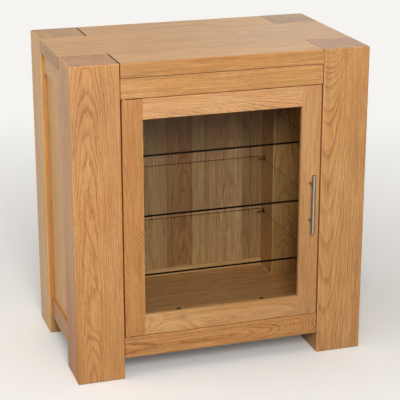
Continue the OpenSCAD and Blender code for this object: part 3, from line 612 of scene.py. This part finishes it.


# Each back board has its own tone; some are also darker and some less red than the oak outside, painted
# shade inside the cabinet
BACK_BOARDS = [
    dict(pith=35, far=80, tilt=0.03, lines=0.6),
    dict(pith=60, far=60, tilt=-0.03, lines=0.6),
    dict(pith=30, far=80, tilt=0.03, lines=0.9, colour=srgb(194, 153, 112),
         marks=[Mark(38, 106, 3, 5, 0.6)]),
    dict(pith=50, far=70, tilt=0.04, lines=1.0, colour=srgb(175, 126, 85),
         marks=[Mark(15, 105, 1.8, 30, 0.6), Mark(41, 32, 5, 7, 0.5), Mark(45, 262, 1.5, 60, 0.35),
                Mark(70, 200, 5, 300, 0.2)]),
    dict(pith=-40, far=60, tilt=0.01, lines=0.6, colour=srgb(205, 162, 120),
         marks=[Mark(38, 360, 2.0, 60, 0.6), Mark(37, 250, 2.5, 7, 0.6),
                Mark(40, 200, 5, 330, 0.3)]),
    dict(pith=60, far=90, tilt=0.03, lines=0.8, colour=srgb(209, 165, 127),
         marks=[Mark(50, 150, 2, 24, 0.5), Mark(38, 266, 1.6, 50, 0.3),
                Mark(80, 300, 22, 420, 0.3, tint=PALE_PATCH)]),
    dict(pith=10, far=60, tilt=0.02, lines=0.9, colour=srgb(180, 140, 102),
         swirls=[(47, 35, 16, 30, 3)], marks=[Mark(52, 14, 2.5, 2.5, 0.8, tint=STRONG_PALE_TINT)]),
]


def dress_inside():
    for number, figure in enumerate(BACK_BOARDS, 1):
        oak(f"back_board_{number}", POST, seed=20 + number, grain=2.3, arris=0.0, **figure)
    # Its colour is darker than the oak outside: painted shade inside the cabinet
    oak("floor_panel", FLAT, pith=60, far=90, tilt=0.02, seed=30, staves=("across", 80, 0),
        lines=0.5, grain=2.2, colour=srgb(187, 143, 96),
        marks=[Mark(351, 597.6, 45, 1.9, 1.0, tint=STRONG_PALE_TINT)])
    for name, seed in (("front", 31), ("rear", 32)):
        oak(f"floor_batten_{name}", CROSS_RAIL, seed=seed)
    for name, seed in (("left", 33), ("right", 34)):
        oak(f"floor_batten_{name}", SIDE_RAIL, seed=seed)
    oak("catch_block", CROSS_RAIL, seed=35)


# Slanted stripes on the hinge stile, dark and pale in turn, steeper towards its foot
DARK_AND_PALE = ((0.50, MARK_TINT), (0.75, STREAK_TINT))
FLAME = [
    Mark(40 - 0.3 * step, 275 - 5.7 * step, 2.4, 15 + 0.4 * step, strength,
         -0.80 + 0.02 * step, tint)
    for step, (strength, tint) in enumerate(DARK_AND_PALE * 11)
]


def dress_door():
    # The pale mark on its left edge is painted light on the side that lies in shade in the gap beside
    # the leg
    oak("door_stile_hinge", POST, pith=-14, far=60, tilt=0.02, ring=2.6, lines=0.6, seed=40,
        leans=[(330, 80, 14), (110, 60, 16)], grain=1.2, colour=srgb(202, 142, 80),
        marks=[Mark(0, 190, 1.2, 260, 0.5, tint=PALE_PATCH), Mark(25, 560, 60, 130, 0.1), *FLAME])
    # The two broad marks low on its face are painted shade, darker and warmer towards its foot
    oak("door_stile_handle", POST, pith=-60, far=40, tilt=0.004, ring=1.7, lines=0.3, fleck=1.0,
        grain=1.1, seed=41, marks=[Mark(30, 7, 1.5, 10, 0.8), Mark(25, 80, 70, 190, 0.2),
                               Mark(25, 80, 70, 190, 0.08, tint=WARM_SHADE_PATCH)],
        colour=srgb(209, 155, 101))
    oak("door_rail_top", CROSS_RAIL, pith=-12, far=60, tilt=0.05, ring=2.6, lines=0.9, seed=42,
        inset=DOOR_TENON, leans=[(200, 90, 12)], colour=srgb(222, 169, 115))
    oak("door_rail_bottom", CROSS_RAIL, pith=20, far=80, tilt=0.02, ring=3.4, lines=0.95, seed=43,
        inset=DOOR_TENON, swirls=[(6, 60, 34, 70, 3.5)], colour=srgb(212, 158, 102),
        marks=[Mark(30, 50, 60, 90, 0.35, tint=PALE_PATCH), Mark(30, 390, 60, 110, 0.12)])


# Glass

SHELF_LEVELS = ("upper", "middle", "lower")
PANE_TINT = srgb(246, 246, 243)
PANE_IOR = 1.06
SHELF_TINT = srgb(249, 252, 248)
SHELF_IOR = 1.22


def glass(finish, tint, ior):
    """Clear glass that lamps and light bounced off dull surfaces pass straight through."""
    smear = finish.noise(finish.coordinate(), (0.06, 0.06, 0.06), detail=3.0)
    clear = finish.principled(Base_Color=tint, Roughness=0.0, IOR=ior, Transmission_Weight=1.0,
                              Normal=finish.bump(smear, 0.00002, 0.3))
    open_way = finish.add("ShaderNodeBsdfTransparent", {"Color": tint})
    return finish.mix_shaders(finish.any_ray("Is Shadow Ray", "Is Diffuse Ray"), clear, open_way)


def dress_glass():
    pane = Finish("pane_glass")
    dress("door_glass", pane.done(glass(pane, PANE_TINT, PANE_IOR)))
    shelf = Finish("shelf_glass")
    clear = glass(shelf, SHELF_TINT, SHELF_IOR)
    polish = shelf.noise(shelf.coordinate(), (0.02, 0.02, 0.02))
    deep = shelf.blend(polish + 0.5, srgb(4, 4, 3), srgb(12, 13, 10))
    front_edge = shelf.principled(Base_Color=deep, Roughness=0.4, Specular_IOR_Level=0.02)
    far_edge = shelf.add("ShaderNodeBsdfTransparent", {"Color": srgb(186, 168, 140)})
    x, y, z = shelf.axes(shelf.coordinate("Normal"))
    edge = shelf.mix_shaders((y * -1.0).over(0.4, 0.6), far_edge, front_edge)
    material = shelf.done(shelf.mix_shaders(z.math("ABSOLUTE").over(0.4, 0.6), edge, clear))
    for level in SHELF_LEVELS:
        dress(f"glass_shelf_{level}", material)


# Metal and plastic

def metal(name, colour, dark, roughness, grain, **sockets):
    """Worked metal with fine lines. grain is the size of its streaks along each axis, in metres."""
    finish = Finish(name)
    place = finish.coordinate()
    streak = finish.noise(place, grain, detail=2.0)
    cloud = finish.noise(place, (0.02, 0.02, 0.02), detail=2.0)
    base = finish.blend(streak.over(-0.3, 0.3) * 0.5 + cloud.over(-0.3, 0.3) * 0.3, colour, dark)
    shader = finish.principled(Base_Color=base, Metallic=1.0, Roughness=streak * 0.16 + roughness,
                               Normal=finish.bump(streak, 0.00003, 0.4), **sockets)
    return finish.done(shader)


def plastic(name, colour, roughness):
    finish = Finish(name)
    place = finish.coordinate()
    grain = finish.noise(place, (0.0006, 0.0006, 0.0006), detail=2.0)
    cloud = finish.noise(place, (0.01, 0.01, 0.01))
    base = finish.blend(cloud.over(-0.3, 0.3) * 0.25, colour, BLACK)
    shader = finish.principled(Base_Color=base, Roughness=grain * 0.2 + roughness,
                               Normal=finish.bump(grain, 0.00002, 0.4))
    return finish.done(shader)


PLATE_HALF_WIDTH = 0.0052
PLATE_RISE = 0.0078
PLATE_THICKNESS = 0.0015
PLATE_BEVEL = 0.0004


def plate_outline(radius):
    """The y and z of a tall plate with round ends, from the middle of its lower end."""
    points = []
    for start, rise in ((0, PLATE_RISE), (180, 0.0)):
        for degrees in range(start, start + 181, 15):
            turn = math.radians(degrees)
            points.append((radius * math.cos(turn), radius * math.sin(turn) + rise))
    return points


def add_plate(shape, side, face, y, z):
    """Adds a plate on the leg's face, right or left of the middle, from the middle of its foot."""
    rings = []
    for proud, half_width in (
        (0.0, PLATE_HALF_WIDTH),
        (PLATE_THICKNESS - PLATE_BEVEL, PLATE_HALF_WIDTH),
        (PLATE_THICKNESS, PLATE_HALF_WIDTH - PLATE_BEVEL),
    ):
        rings.append([
            shape.verts.new((side * (face - proud), y + across, z + up))
            for across, up in plate_outline(half_width)
        ])
    for inner, outer in zip(rings, rings[1:]):
        for index, corner in enumerate(inner):
            shape.faces.new((inner[index - 1], corner, outer[index], outer[index - 1]))
    shape.faces.new(rings[0])
    shape.faces.new(rings[-1])


def make_support_plates(material):
    """The upright plate of each shelf support, flat on the leg behind the edge of the glass."""
    shape = bmesh.new()
    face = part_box("leg_rear_right")[0].x
    for level in SHELF_LEVELS:
        low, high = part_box(f"shelf_supports_{level}")
        radius = (high.z - low.z) / 2
        for side in (-1, 1):
            for y in (low.y + radius, high.y - radius):
                add_plate(shape, side, face, y, low.z + radius)
    bmesh.ops.recalc_face_normals(shape, faces=shape.faces)
    mesh = bpy.data.meshes.new("shelf_support_plates")
    shape.to_mesh(mesh)
    shape.free()
    mesh.materials.append(material)
    plates = bpy.data.objects.new("shelf_support_plates", mesh)
    bpy.context.scene.collection.objects.link(plates)
    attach(plates, "carcass")


def dress_small_parts():
    # The steel is browner and darker than bare steel: painted reflection of a dim brown room
    steel = metal("brushed_steel", (0.385, 0.31, 0.23, 1), (0.22, 0.175, 0.125, 1), 0.40,
                  (0.0004, 0.0004, 0.03), Anisotropic=1.0, Anisotropic_Rotation=0.25)
    zinc = metal("zinc", (0.70, 0.71, 0.72, 1), (0.5, 0.5, 0.52, 1), 0.35, (0.001, 0.001, 0.001))
    brass = metal("brass", (0.75, 0.56, 0.27, 1), (0.5, 0.35, 0.15, 1), 0.3, (0.001, 0.001, 0.004))
    bronze = metal("dark_bronze", (0.025, 0.02, 0.016, 1), (0.01, 0.008, 0.006, 1), 0.4,
                   (0.001, 0.001, 0.001))
    pad = plastic("smoked_pad", (0.05, 0.045, 0.04, 1), 0.5)
    black = plastic("dark_plastic", srgb(62, 48, 35), 0.45)
    cream = plastic("catch_plastic", srgb(226, 220, 208), 0.45)
    ferrite = plastic("magnet", srgb(60, 60, 62), 0.5)
    for node in ("handle_bar", "handle_posts"):
        dress(node, steel)
    for node in ("handle_screws", "floor_batten_screws", "top_bracket_screws", "top_brackets",
                 "glass_clip_screws", "catch_screws", "catch_strike", "catch_strike_screw"):
        dress(node, zinc)
    for node in ("hinge_frame_leaves", "hinge_door_leaves", "hinge_pins", "hinge_washers",
                 "hinge_frame_screws", "hinge_door_screws"):
        dress(node, brass)
    for level in SHELF_LEVELS:
        dress(f"shelf_supports_{level}", bronze)
    make_support_plates(bronze)
    dress("shelf_pads", pad)
    dress("glass_clips", black)
    dress("catch_body", cream)
    dress("catch_magnet", ferrite)


# The scene

make_camera()
make_world()
make_floor()
softbox("key", (-0.66, -2.95, 1.99), (0, 0, 0.45), 0.85, 65, gleams=False)
softbox("gleam", (-0.66, -2.95, 0.6), (0.2, -0.25, 0.45), 0.5, 38, lights=False)
softbox("left", (-2.4, -0.1, 1.7), (-0.3, 0, 0.6), 1.6, 21)
softbox("overhead", (-0.5, -1.5, 2.5), (0, 0, 0.4), 1.6, 13)
softbox("back_fill", (2.4, 2.2, 1.3), (0, 0, 0.4), 3.4, 18)
softbox("rear", (0.9, 2.9, 0.55), (0, 0.2, 0.4), 1.2, 14, gleams=False)
dress_frame()
dress_inside()
dress_door()
dress_glass()
dress_small_parts()

bpy.context.scene.view_settings.view_transform = "Standard"
